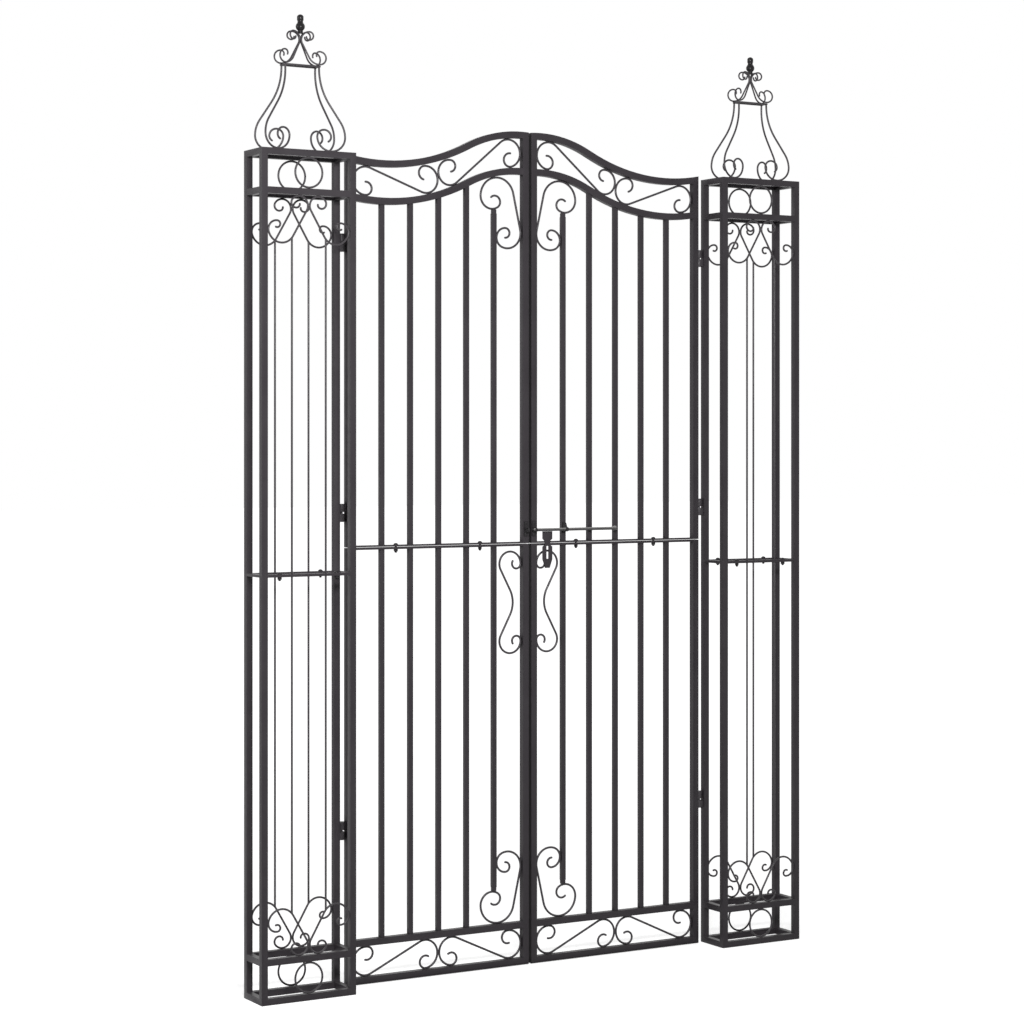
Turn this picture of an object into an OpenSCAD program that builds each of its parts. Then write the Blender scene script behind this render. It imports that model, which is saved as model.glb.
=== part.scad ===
// Double garden gate: two open lattice posts and two scrollwork leaves.
// Units are millimetres. X runs along the gate, Y is depth (front is -Y), Z is up.
// The origin is the underside of the left post, under the rail beside its leaf.

/* [Overall] */
// Width of the way through, between the two posts
opening = 828; // [800:10:880]
// Width of each post
post_w = 191; // [185:1:200]
// Depth of each post
post_d = 79; // [76:1:90]
// Height of the post frames without their spires
post_h = 1558; // [1540:2:1580]
// Side of the square tube in the posts
post_tube = 12; // [11:0.5:13]

/* [Leaves] */
// Gap between a post and its leaf
hinge_gap = 14.3; // [13.5:0.1:16]
// Gap between the two leaves
meeting_gap = 6; // [5:0.5:8]
// Side of the square tube in the leaves
leaf_tube = 13; // [12:0.5:14]
// Side of the square bars in the leaves
bar = 9; // [8:0.5:10]
// Spacing of the bars
bar_pitch = 61.3; // [60:0.1:62]
// Height of the leaf's underside
leaf_lift = 1; // [0:0.5:3]

/* [Scrolls] */
// Diameter of the scroll rod in the posts
post_rod = 3.6; // [3.2:0.1:4]
// Diameter of the scroll rod in the leaves
leaf_rod = 4; // [3.5:0.1:4.5]

/* [Hinges and bolt] */
// Outside diameter of a hinge knuckle
knuckle_d = 12.6; // [11:0.1:13]
// Length of a hinge knuckle
knuckle_l = 15.5; // [14:0.5:18]
// How far the hinge line lies behind the leaf's middle
hinge_back = 3; // [3:0.25:4]
// Diameter of the slide bolt
bolt_d = 6; // [5:0.25:6.5]

/* [Hidden] */
$fn = 48;
// Everything below is laid out from the middle of the gate, left side at negative X.
gate_x = opening / 2 + post_tube / 2;
half_open = opening / 2;
post_in = -half_open;
post_out = -half_open - post_w;
post_x = post_in - post_w / 2;
front_y = -post_d / 2 + post_tube / 2;
back_y = post_d / 2 - post_tube / 2;
mid_z = post_h / 2;
flat_t = 2.6;
// How far a post's joint bolts stand from its middle.
bolt_off = 57.5;
// Room left beside a weld.
touch_gap = 0.1;
// Step in thickness and length of lap where one piece of rod runs into the next.
thin = 0.08;
lap = 0.3;
ring_pitch = 71;
leaf_y = back_y;
leaf_l = -half_open + hinge_gap;
leaf_r = -meeting_gap / 2;
stile_l = leaf_l + leaf_tube / 2;
stile_r = leaf_r - leaf_tube / 2;
leaf_mid = (leaf_l + leaf_r) / 2;
// Level where the two halves of a leaf meet, and the flats bolted together there.
joint_z = 823.2;
joint_gap = 1.2;
low_flat = 4;
up_flat = 3;
low_flat_z = joint_z - low_flat;
up_flat_z = joint_z + joint_gap;
bolt_hole = 5.4;

// Wavy top rail: a hollow arc, then a humped arc, both by their centre lines.
dip_in = 78;
dip_drop = 8.4;
hump_in = 19;
hump_rise = 64.4;
dip_x = leaf_l + dip_in;
dip_z = post_h - dip_drop;
hump_x = leaf_r - hump_in;
hump_z = post_h + hump_rise;
rise = hump_z - dip_z;
run = hump_x - dip_x;
arc_sum = (run * run + rise * rise) / (2 * rise);
dip_r = 402;
hump_r = arc_sum - dip_r;
turn = asin(run / arc_sum);
rail_drop = 71;

// Scroll planes near the two faces of a post.
face_in = 3;
face_front = -post_d / 2 + face_in;
face_back = post_d / 2 - face_in;

hinge_x = -half_open + hinge_gap / 2;
hinge_y = leaf_y + hinge_back;
top_hinge_drop = 161;
mid_hinge_z = 889.5;
low_hinge_z = 292.5;
hinge_zs = [post_h - top_hinge_drop, mid_hinge_z, low_hinge_z];
knuckle_gap = 3;
pin_d = 5;
pin_clear = 0.05;

// Where the slide bolt runs: in front of the leaf's middle and above its joint.
bolt_stand = 14.5;
bolt_rise = 27.3;
bolt_y = leaf_y - bolt_stand;
bolt_z = joint_z + bolt_rise;

iron = [0.06, 0.06, 0.065];

// ---------- rods ----------

// Box from x0 to x1 and so on.
module box(x0, x1, y0, y1, z0, z1) {
  translate([x0, y0, z0]) cube([x1 - x0, y1 - y0, z1 - z0]);
}

// Round rod between two points, run on by a little at each end.
module rod(a, b, d, on_a = 0, on_b = 0) {
  v = b - a;
  len = norm(v);
  translate(a)
    rotate([0, acos(v[2] / len), atan2(v[1], v[0])])
      translate([0, 0, -on_a]) cylinder(h = len + on_a + on_b, d = d);
}

// Round arc in the XZ plane: centre c, from angle a, through sweep w (either sign).
// It starts early by the length on, so that it laps into a thicker piece before it.
module arc(c, y, r, a, w, d, on = 0) {
  s = sign(w);
  early = on / r * 180 / PI;
  a0 = a - s * early;
  turn_by = abs(w) + early;
  translate([c[0], y, c[1]])
    rotate([90, 0, 0])
      rotate([0, 0, s < 0 ? a0 - turn_by : a0])
        rotate_extrude(angle = turn_by) translate([r, 0]) circle(d = d, $fn = 24);
}

function unit(a) = [cos(a), sin(a)];

// A curl of arcs that get tighter: arcs is a list of [radius, sweep].
// Each piece is a little thinner than the last and laps into its end, as a drawn-out tail does.
module curl(c, y, a, s, arcs, d, i = 0) {
  if (i < len(arcs)) {
    w = s * arcs[i][1];
    arc(c, y, arcs[i][0], a, w, d - (i + 1) * thin, lap);
    if (i + 1 < len(arcs)) {
      curl(c + (arcs[i][0] - arcs[i + 1][0]) * unit(a + w), y, a + w, s, arcs, d, i + 1);
    }
  }
}

// Heading of the line that leaves circle 1 with sense s1 and joins circle 2 with sense s2.
function heading(c1, r1, s1, c2, r2, s2) =
  let (v = c2 - c1)
  atan2(v[1], v[0]) - asin((s2 * r2 - s1 * r1) / norm(v));

function touch(c, r, s, t) = c - s * r * [-sin(t), cos(t)];

// Stroke from curl 1 to curl 2 in the XZ plane.
module scroll(y, c1, s1, arcs1, c2, s2, arcs2, d) {
  r1 = arcs1[0][0];
  r2 = arcs2[0][0];
  t = heading(c1, r1, s1, c2, r2, s2);
  p1 = touch(c1, r1, s1, t);
  p2 = touch(c2, r2, s2, t);
  rod([p1[0], y, p1[1]], [p2[0], y, p2[1]], d);
  curl(c1, y, t + 180 + 90 * s1, -s1, arcs1, d);
  curl(c2, y, t - 90 * s2, s2, arcs2, d);
}

module flip_x(x) { translate([2 * x, 0, 0]) mirror([1, 0, 0]) children(); }
module flip_z(z) { translate([0, 0, 2 * z]) mirror([0, 0, 1]) children(); }
module twice_x(x) { children(); flip_x(x) children(); }
module twice_z(z) { children(); flip_z(z) children(); }
module on_faces() { for (y = [face_front, face_back]) translate([0, y, 0]) children(); }

module left() { translate([gate_x, 0, 0]) color(iron) children(); }
module right() { translate([gate_x, 0, 0]) mirror([1, 0, 0]) color(iron) children(); }

// ---------- post ----------

// Square ring of rails with its underside at z.
module ring(z) {
  difference() {
    box(post_out, post_in, -post_d / 2, post_d / 2, z, z + post_tube);
    box(post_out + post_tube, post_in - post_tube, -post_d / 2 + post_tube, post_d / 2 - post_tube, z - 1, z + post_tube + 1);
  }
}

module flat_ring(z, t) {
  difference() {
    box(post_out, post_in, -post_d / 2, post_d / 2, z, z + t);
    for (x = [post_x - bolt_off, post_x + bolt_off]) {
      for (y = [front_y, back_y]) {
        translate([x, y, z - 1]) cylinder(h = t + 2, d = bolt_hole);
      }
    }
    box(post_out + post_tube, post_in - post_tube, -post_d / 2 + post_tube, post_d / 2 - post_tube, z - 1, z + t + 1);
  }
}

module uprights(z0, z1) {
  for (x = [post_out, post_in - post_tube]) {
    for (y = [-post_d / 2, post_d / 2 - post_tube]) {
      box(x, x + post_tube, y, y + post_tube, z0, z1);
    }
  }
}

foot_flat_w = 10;
foot_flat_t = 3;

module post_upper_frame() {
  uprights(mid_z, post_h);
  // Flats across the top that the spire stands on.
  for (x = [post_x - spire_foot, post_x + spire_foot]) {
    box(x - foot_flat_w / 2, x + foot_flat_w / 2, -post_d / 2 + post_tube, post_d / 2 - post_tube,
        post_h - foot_flat_t, post_h);
  }
  ring(post_h - post_tube);
  ring(post_h - ring_pitch - post_tube);
  flat_ring(mid_z, flat_t);
}

module post_lower_frame() {
  uprights(0, mid_z);
  ring(0);
  ring(ring_pitch);
  flat_ring(mid_z - flat_t, flat_t);
}

circle_r = (ring_pitch - post_tube - post_rod) / 2 - touch_gap;
circle_z = post_h - (ring_pitch + post_tube) / 2;
// C-scroll: large curl beside the post's tube, and the knot at the post's middle.
side_r = 26.7;
side_in_r = 17.4;
side_tail_r = 9;
side_drop = 145.3;
side_x = post_out + post_tube + touch_gap + post_rod / 2 + side_r;
side_z = post_h - side_drop;
knot_r = 17.5;
knot_tail_r = 9.4;
knot_x = post_x - touch_gap - post_rod / 2 - knot_r;
knot_z = post_h - ring_pitch - post_tube - touch_gap - post_rod / 2 - knot_r;
// A long rod ends on the large curl, this far in from the curl's middle.
rod_reach = 20.6;
rod_x = side_x + rod_reach;

// One face's work at the top of a post: a full circle, two C-scrolls back to back and two long rods.
module post_face_work() {
  translate([post_x, 0, circle_z])
    rotate([90, 0, 0]) rotate_extrude() translate([circle_r, 0]) circle(d = post_rod, $fn = 24);
  twice_x(post_x) {
    scroll(0, [knot_x, knot_z], -1, [[knot_r, 173], [knot_tail_r, 175]],
           [side_x, side_z], -1, [[side_r, 134], [side_in_r, 90], [side_tail_r, 190]], post_rod);
    sag = sqrt(side_r * side_r - rod_reach * rod_reach);
    rod([rod_x, 0, mid_z + flat_t], [rod_x, 0, side_z - sag], post_rod);
  }
}

module post_upper_scrollwork() { on_faces() post_face_work(); }
module post_lower_scrollwork() { flip_z(mid_z) post_upper_scrollwork(); }

// Round-headed bolt and nut that clamp two flats between z0 and z1.
module joint_bolt(x, y, z0, z1) {
  head_d = 9;
  head_h = 3.4;
  nut_d = 8;
  nut_h = 4.5;
  end_l = 2.5;
  translate([x, y, z1]) cylinder(h = head_h, d = head_d);
  translate([x, y, z0 - nut_h]) cylinder(h = nut_h, d = nut_d);
  translate([x, y, z0 - nut_h - end_l]) cylinder(h = z1 - z0 + nut_h + end_l + 1, d = bolt_hole - 0.4);
}

module post_joint_bolts() {
  for (y = [front_y, back_y]) {
    for (x = [post_x - bolt_off, post_x + bolt_off]) joint_bolt(x, y, mid_z - flat_t, mid_z + flat_t);
  }
}

// ---------- spire ----------

spire_r = 26.7;
spire_z = post_h + touch_gap + post_rod / 2 + spire_r;
bulge_x = 80.8;
bulge_y = 22.9;
foot_in_r = 13.2;
foot_tail_r = 9.8;
collar_rise = 158.8;
collar_z = post_h + collar_rise;
collar_x = 34.4;
neck_l = 6;
belly_r = 51;
flare_r = 118;
// Turn of a spire rod's plane about upright, and how far it leans in.
spire_turn = 10.15;
spire_lean = 2.8;
collar_h = (collar_z - spire_z) / cos(spire_lean);
lean_in = collar_h * sin(spire_lean);
reach = (bulge_x - collar_x + lean_in * sin(spire_turn)) / cos(spire_turn);
collar_y = bulge_y - reach * sin(spire_turn) - lean_in * cos(spire_turn);
spire_foot = bulge_x - spire_r * cos(spire_turn);

// One S-rod of the spire, flat: its bulge touches X = 0 and its middle is at Z = 0.
module spire_rod_flat() {
  belly = [belly_r, 0];
  flare = [reach - flare_r, collar_h - neck_l];
  t = heading(belly, belly_r, -1, flare, flare_r, 1);
  p = touch(belly, belly_r, -1, t);
  q = touch(flare, flare_r, 1, t);
  rod([p[0], 0, p[1]], [q[0], 0, q[1]], post_rod);
  arc(belly, 0, belly_r, t + 90, 90 - t, post_rod - thin, lap);
  curl([spire_r, 0], 0, 180, 1, [[spire_r, 180], [foot_in_r, 180], [foot_tail_r, 79]], post_rod - thin);
  arc(flare, 0, flare_r, t - 90, 90 - t, post_rod - thin, lap);
  rod([reach, 0, flare[1]], [reach, 0, collar_h], post_rod - 2 * thin, lap);
}

module twice_y() { children(); mirror([0, 1, 0]) children(); }
module each_quarter() { twice_x(post_x) twice_y() children(); }

// Four S-rods that meet in a small rectangular collar.
module spire_cage() {
  each_quarter()
    translate([post_x - bulge_x, -bulge_y, spire_z])
      rotate([0, 0, spire_turn]) rotate([-spire_lean, 0, 0]) spire_rod_flat();
  for (y = [-collar_y, collar_y]) {
    rod([post_x - collar_x, y, collar_z], [post_x + collar_x, y, collar_z], post_rod + thin, 2, 2);
  }
  for (x = [-collar_x, collar_x]) {
    rod([post_x + x, -collar_y, collar_z], [post_x + x, collar_y, collar_z], post_rod - 3 * thin);
  }
}

// Crown: four thinner rods with a curl on the collar, a sweep to the middle and a small curl on top.
crown_rod = 3;
crown_turn = 13.5;
crown_in = crown_rod / 2 + touch_gap;
crown_z = collar_z + (post_rod + thin + crown_rod) / 2 + touch_gap;
crown_rise = 207.1;
crown_foot_x = 34.5;
crown_foot_r = 12;
crown_foot_tail_r = 6.2;
crown_low_r = 22;
crown_high_r = 15;
crown_curl_r = 7.6;
crown_tail_r = 5.5;

module crown_rod_flat(d) {
  low = [crown_foot_x, crown_z + crown_low_r];
  high = [crown_high_r, post_h + crown_rise];
  t = heading(low, crown_low_r, -1, high, crown_high_r, -1);
  p = touch(low, crown_low_r, -1, t);
  q = touch(high, crown_high_r, -1, t);
  rod([p[0], 0, p[1]], [q[0], 0, q[1]], d);
  arc(low, 0, crown_low_r, t + 90, 180 - t, d - thin, lap);
  curl([crown_foot_x, crown_z + crown_foot_r], 0, 270, 1,
       [[crown_foot_r, 180], [crown_foot_tail_r, 115]], d - thin);
  curl(high, 0, t + 90, -1, [[crown_high_r, t], [crown_curl_r, 180], [crown_tail_r, 90]], d);
}

module crown_rods(d) {
  each_quarter()
    translate([post_x + crown_in, crown_in, 0]) rotate([0, 0, crown_turn]) crown_rod_flat(d);
}

module spire_crown() { crown_rods(crown_rod); }

// Turned finial: a plug between the rods, a bulb, a neck and a small cap.
finial_rise = 218;
plug_d = 10;
bulb_d = 17.2;
bulb_h = 14;
neck_d = 10.6;
cap_d = 12.2;
cap_ball_d = 13.4;

module finial() {
  difference() {
    translate([post_x, 0, post_h + finial_rise]) {
      cylinder(h = 8, d = plug_d);
      intersection() {
        translate([0, 0, 13]) sphere(d = bulb_d);
        translate([0, 0, 6]) cylinder(h = bulb_h, d = bulb_d + 2);
      }
      translate([0, 0, 18]) cylinder(h = 7, d = neck_d);
      intersection() {
        translate([0, 0, 29]) sphere(d = cap_ball_d);
        translate([0, 0, 24]) cylinder(h = 15, d = cap_d);
      }
    }
    crown_rods(crown_rod + 2 * touch_gap);
  }
}

// ---------- hinges ----------

module post_hinges() {
  for (z = hinge_zs) {
    low = z - knuckle_gap / 2 - knuckle_l;
    translate([hinge_x, hinge_y, low]) cylinder(h = knuckle_l, d = knuckle_d);
    translate([hinge_x, hinge_y, low]) cylinder(h = 2 * knuckle_l + knuckle_gap - 2, d = pin_d);
    box(post_in, hinge_x, hinge_y - 6, hinge_y + 2, low + 1, low + knuckle_l - 1);
  }
}

module leaf_hinges() {
  for (z = hinge_zs) {
    low = z + knuckle_gap / 2;
    difference() {
      union() {
        translate([hinge_x, hinge_y, low]) cylinder(h = knuckle_l, d = knuckle_d);
        box(hinge_x, leaf_l, hinge_y - 5, hinge_y + 2, low + 1, low + knuckle_l - 1);
      }
      translate([hinge_x, hinge_y, low - 1]) cylinder(h = knuckle_l, r = pin_d / 2 + pin_clear);
    }
  }
}

// ---------- leaf ----------

dip_c = [dip_x, dip_z + dip_r];
hump_c = [hump_x, hump_z - hump_r];

// Square tube swept along an arc in the XZ plane.
module bent_tube(c, r, a, w, side) {
  translate([c[0], leaf_y, c[1]])
    rotate([90, 0, 0]) rotate([0, 0, a])
      rotate_extrude(angle = w) translate([r - side / 2, -side / 2]) square(side);
}

// Wavy rail, its middle line dropped by d from the top one, and cut flush with the stiles.
module wavy_rail(d) {
  left_w = asin((dip_x - leaf_l) / dip_r) + 1;
  right_w = asin((leaf_r - hump_x) / hump_r) + 1;
  intersection() {
    translate([0, 0, -d]) {
      bent_tube(dip_c, dip_r, 270 - left_w, left_w + turn, leaf_tube);
      // The humped part is a little thinner and laps into the hollow part.
      bent_tube(hump_c, hump_r, 90 - right_w, right_w + turn + lap / hump_r * 180 / PI, leaf_tube - thin);
    }
    box(leaf_l, leaf_r, leaf_y - leaf_tube, leaf_y + leaf_tube, dip_z - d - leaf_tube, hump_z - d + leaf_tube);
  }
}

// Height of the wavy rail's middle line at x.
function wave_z(x) =
  x < dip_x + dip_r * sin(turn)
    ? dip_c[1] - sqrt(dip_r * dip_r - (x - dip_x) * (x - dip_x))
    : hump_c[1] + sqrt(hump_r * hump_r - (x - hump_x) * (x - hump_x));

module tube_x(z) {
  box(leaf_l, leaf_r, leaf_y - leaf_tube / 2, leaf_y + leaf_tube / 2, z, z + leaf_tube);
}

module upright(x, side, z0, z1) {
  box(x - side / 2, x + side / 2, leaf_y - side / 2, leaf_y + side / 2, z0, z1);
}

joint_xs = [leaf_mid - 1.5 * bar_pitch, leaf_mid + 1.5 * bar_pitch];

// Flat bar across a leaf at its joint, with holes for the joint bolts.
module joint_flat(z, t) {
  difference() {
    box(leaf_l, leaf_r, leaf_y - leaf_tube / 2, leaf_y + leaf_tube / 2, z, z + t);
    for (x = joint_xs) translate([x, leaf_y, z - 1]) cylinder(h = t + 2, d = bolt_hole);
  }
}

short_x = leaf_mid + 2 * bar_pitch;
// The lower short bar's end and large scroll mirror the upper ones about this level.
half_rise = 1.6;
half_z = (hump_z + half_rise) / 2;
short_drop = 155.9;
short_top = hump_z - short_drop;
short_low = 2 * half_z - short_top;
tip_l = 7.1;
tip_d = 2.4;

module leaf_upper_panel() {
  upright(stile_l, leaf_tube, up_flat_z, wave_z(stile_l));
  upright(stile_r, leaf_tube, up_flat_z, wave_z(stile_r));
  wavy_rail(0);
  wavy_rail(rail_drop);
  for (k = [-2, -1, 0, 1]) {
    x = leaf_mid + k * bar_pitch;
    upright(x, bar, up_flat_z, wave_z(x) - rail_drop);
  }
  upright(short_x, bar, up_flat_z, short_top);
  translate([short_x, leaf_y, short_top]) cylinder(h = tip_l, d1 = bar, d2 = tip_d);
  joint_flat(up_flat_z, up_flat);
}

module leaf_lower_panel() {
  top = low_flat_z + low_flat;
  upright(stile_l, leaf_tube, leaf_lift, top);
  upright(stile_r, leaf_tube, leaf_lift, top);
  tube_x(leaf_lift);
  tube_x(leaf_lift + ring_pitch);
  for (k = [-2, -1, 0, 1]) {
    upright(leaf_mid + k * bar_pitch, bar, leaf_lift + ring_pitch, top);
  }
  upright(short_x, bar, short_low, top);
  translate([short_x, leaf_y, short_low - tip_l]) cylinder(h = tip_l, d1 = tip_d, d2 = bar);
  joint_flat(low_flat_z, low_flat);
}

module leaf_joint_bolts() {
  for (x = joint_xs) joint_bolt(x, leaf_y, low_flat_z, up_flat_z + up_flat);
}

base_z = leaf_lift + leaf_tube + (ring_pitch - leaf_tube) / 2;
base_r = (ring_pitch - leaf_tube - leaf_rod) / 2 - touch_gap;
rod_seat = leaf_rod / 2 + touch_gap;
leaf_in_l = leaf_l + leaf_tube;
leaf_in_r = leaf_r - leaf_tube;

// The base scrolls' ends: beside the stile, then at the leaf's middle.
base_out_r = 12.4;
base_in_r = 11.9;

module base_scrolls() {
  twice_x(leaf_mid)
    scroll(leaf_y, [leaf_in_l + rod_seat + base_r, base_z], 1, [[base_r, 216], [base_out_r, 90]],
           [leaf_mid - rod_seat - base_r, base_z], -1, [[base_r, 202], [base_in_r, 216]], leaf_rod);
}

// Room for a circle between the wavy rails at x: on the hollow part, then on the humped part.
function hollow_room(x) =
  let (z = wave_z(x) - rail_drop / 2)
  min(norm([x, z] - dip_c) - dip_r - leaf_tube / 2, dip_r - leaf_tube / 2 - norm([x, z + rail_drop] - dip_c));
function hump_room(x) =
  let (z = wave_z(x) - rail_drop / 2)
  min(hump_r - leaf_tube / 2 - norm([x, z] - hump_c), norm([x, z + rail_drop] - hump_c) - hump_r - leaf_tube / 2);
function mid_wave(x) = [x, wave_z(x) - rail_drop / 2];

// Where the four curls of the top scrolls stand, and the radii of their tails.
top_out = 29;
top_mid_l = 27.3;
top_mid_r = 24.5;
top_in = 30;
tail_a = 12.5;
tail_b = 13.2;
tail_c = 11.2;
tail_d = 13.2;

module top_scrolls() {
  c_x = leaf_in_l + top_out;
  d_x = leaf_mid - top_mid_l;
  e_x = leaf_mid + top_mid_r;
  f_x = leaf_in_r - top_in;
  scroll(leaf_y, mid_wave(c_x), -1, [[hollow_room(c_x) - rod_seat, 202], [tail_a, 180]],
         mid_wave(d_x), 1, [[hollow_room(d_x) - rod_seat, 207], [tail_b, 158]], leaf_rod);
  scroll(leaf_y, mid_wave(e_x), 1, [[hollow_room(e_x) - rod_seat, 228], [tail_c, 163]],
         mid_wave(f_x), -1, [[hump_room(f_x) - rod_seat, 206], [tail_d, 200]], leaf_rod);
}

// Big curl over a smaller one, between the short bar and the meeting stile.
large_low_r = 30.6;
large_low_drop = 191.65;
large_low_tail_r = 9.5;
large_big_r = 37.1;
large_big_in = 54.8;
large_big_drop = 122.55;
large_in_r = 24.9;
large_tail_r = 12;

module large_scroll() {
  low_c = [leaf_in_r - rod_seat - large_low_r, hump_z - large_low_drop];
  big_c = [leaf_in_r - large_big_in, hump_z - large_big_drop];
  t = heading(low_c, large_low_r, 1, big_c, large_big_r, 1);
  end_a = t - 90 - 124;
  // The second arc is as large as the room beside the short bar allows.
  room = low_c[0] + large_low_r * cos(end_a) - (short_x + bar / 2) - rod_seat;
  room_r = room / (1 + cos(end_a));
  scroll(leaf_y, low_c, 1, [[large_low_r, 124], [room_r, 160], [large_low_tail_r, 180]],
         big_c, 1, [[large_big_r, 164.5], [large_in_r, 125], [large_tail_r, 190]], leaf_rod);
}
module large_scrolls() { twice_z(half_z) large_scroll(); }

// Lyre: two curls against the meeting stile, joined by one belly.
lyre_drop = 113.7;
lyre_half = 75.3;
lyre_curl_r = 23.8;
lyre_tail_r = 9.6;
lyre_belly_r = 51.2;
lyre_belly_in = 70.9;

module lyre() {
  lyre_z = joint_z - lyre_drop;
  top_c = [leaf_in_r - rod_seat - lyre_curl_r, lyre_z + lyre_half];
  belly_c = [leaf_in_r - lyre_belly_in, lyre_z];
  t = heading(belly_c, lyre_belly_r, 1, top_c, lyre_curl_r, -1);
  arc(belly_c, leaf_y, lyre_belly_r, 90 - t, 2 * (t - 90), leaf_rod + thin);
  twice_z(lyre_z) {
    p = touch(belly_c, lyre_belly_r, 1, t);
    q = touch(top_c, lyre_curl_r, -1, t);
    rod([p[0], leaf_y, p[1]], [q[0], leaf_y, q[1]], leaf_rod, lap);
    // The curl turns tighter where it meets the stile.
    curl(top_c, leaf_y, t + 90, -1, [[lyre_curl_r, t + 90], [lyre_tail_r, 213]], leaf_rod);
  }
}

// ---------- slide bolt ----------

draw_back = 52;
bolt_shot = -49;
bolt_len = 186;
bolt_run = 0.7;
guide_d = 12;

knob_d = 10;

// Round slide bolt with a pull knob, drawn back at rest.
module slide_bolt() {
  x0 = bolt_shot + draw_back;
  x1 = x0 + bolt_len;
  rod([x0, bolt_y, bolt_z], [x1, bolt_y, bolt_z], bolt_d);
  translate([x1 + 3, bolt_y, bolt_z]) sphere(d = knob_d);
}

guide_w = 8;
lug_d = 20;
lug_rise = 7;

// Guide centred at x: an eye round the bolt and a rounded lug that rises up the face at y1.
module guide(x, y1) {
  x0 = x - guide_w / 2;
  x1 = x + guide_w / 2;
  difference() {
    union() {
      rod([x0, bolt_y, bolt_z], [x1, bolt_y, bolt_z], guide_d);
      intersection() {
        rod([x0, y1 - 1, bolt_z + lug_rise], [x1, y1 - 1, bolt_z + lug_rise], lug_d);
        box(x0, x1, bolt_y - lug_d, y1, bolt_z - lug_d, bolt_z + 2 * lug_d);
      }
    }
    rod([x0 - 1, bolt_y, bolt_z], [x1 + 1, bolt_y, bolt_z], bolt_d + 2 * bolt_run);
  }
}

stile_face = leaf_y - leaf_tube / 2;
bar_face = leaf_y - bar / 2;

module bolt_guides() {
  guide(-stile_r, stile_face);
  guide(-short_x, bar_face);
}

module bolt_catch() { guide(stile_r, stile_face); }

hasp_x = 38.5;
hasp_t = 3;
hasp_w = 22;
hasp_neck_w = 12;
hasp_end_w = 10;
hasp_l = 48.2;
slot_w = 5;
slot_l = 25;

// Padlock plate below the bolt, waisted where it crosses the leaf's joint.
module hasp_plate() {
  a = hasp_w / 2;
  n = hasp_neck_w / 2;
  e = hasp_end_w / 2;
  top = bolt_rise - bolt_d / 2 - 0.6;
  right_edge = [[a, top], [a, 8.8], [n, 4.8], [n, -3.2], [a, -6.2], [a, -31.2], [e, -hasp_l]];
  left_edge = [for (k = [len(right_edge) - 1:-1:0]) [-right_edge[k][0], right_edge[k][1]]];
  translate([hasp_x, stile_face, joint_z]) rotate([90, 0, 0])
    linear_extrude(height = hasp_t)
      difference() {
        polygon(concat(right_edge, left_edge));
        translate([-slot_w / 2, -5.2 - slot_l]) square([slot_w, slot_l]);
      }
}

// ---------- nodes ----------

left() post_upper_frame();  // left_post_upper_frame
left() post_lower_frame();  // left_post_lower_frame
left() post_upper_scrollwork();  // left_post_upper_scrollwork
left() post_lower_scrollwork();  // left_post_lower_scrollwork
left() post_joint_bolts();  // left_post_joint_bolts
left() spire_cage();  // left_spire_cage
left() spire_crown();  // left_spire_crown
left() finial();  // left_finial
left() post_hinges();  // left_post_hinges
left() leaf_upper_panel();  // left_leaf_upper_panel
left() leaf_lower_panel();  // left_leaf_lower_panel
left() top_scrolls();  // left_top_scrolls
left() base_scrolls();  // left_base_scrolls
left() large_scrolls();  // left_large_scrolls
left() lyre();  // left_lyre_scroll
left() leaf_hinges();  // left_leaf_hinges
left() leaf_joint_bolts();  // left_leaf_joint_bolts
right() post_upper_frame();  // right_post_upper_frame
right() post_lower_frame();  // right_post_lower_frame
right() post_upper_scrollwork();  // right_post_upper_scrollwork
right() post_lower_scrollwork();  // right_post_lower_scrollwork
right() post_joint_bolts();  // right_post_joint_bolts
right() spire_cage();  // right_spire_cage
right() spire_crown();  // right_spire_crown
right() finial();  // right_finial
right() post_hinges();  // right_post_hinges
right() leaf_upper_panel();  // right_leaf_upper_panel
right() leaf_lower_panel();  // right_leaf_lower_panel
right() top_scrolls();  // right_top_scrolls
right() base_scrolls();  // right_base_scrolls
right() large_scrolls();  // right_large_scrolls
right() lyre();  // right_lyre_scroll
right() leaf_hinges();  // right_leaf_hinges
right() leaf_joint_bolts();  // right_leaf_joint_bolts
left() slide_bolt();
left() bolt_guides();
left() bolt_catch();
left() hasp_plate();
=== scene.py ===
import math

import bpy
import bmesh
from mathutils import Matrix, Vector


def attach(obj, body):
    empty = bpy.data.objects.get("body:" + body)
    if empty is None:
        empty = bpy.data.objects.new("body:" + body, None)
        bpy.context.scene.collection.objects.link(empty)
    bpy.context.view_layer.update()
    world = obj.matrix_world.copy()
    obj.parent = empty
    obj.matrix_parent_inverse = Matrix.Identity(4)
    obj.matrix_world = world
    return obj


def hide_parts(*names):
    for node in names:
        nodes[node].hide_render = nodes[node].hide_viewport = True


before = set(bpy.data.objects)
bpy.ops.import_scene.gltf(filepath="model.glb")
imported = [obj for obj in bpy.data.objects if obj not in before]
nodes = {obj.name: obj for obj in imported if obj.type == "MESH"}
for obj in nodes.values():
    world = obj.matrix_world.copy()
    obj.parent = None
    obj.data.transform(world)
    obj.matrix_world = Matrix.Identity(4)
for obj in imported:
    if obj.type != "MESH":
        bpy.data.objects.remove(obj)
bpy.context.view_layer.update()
scene = bpy.context.scene
scene.view_settings.view_transform = "Standard"
mm = 0.001
sides = ("left", "right")

# the gate's main sizes in millimetres; shapes are drawn from its middle, for the left side
gate = {
    "middleX": 420.0,  # of the opening, in the row frame
    "openingHalf": 414.0,
    "postWide": 191.0,
    "postDeep": 79.0,
    "postTall": 1558.0,  # without the spire
    "postTube": 12.0,
}
postX = -gate["openingHalf"] - gate["postWide"] / 2
rodGap = 0.1  # air between a rod and what it is welded to


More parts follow.
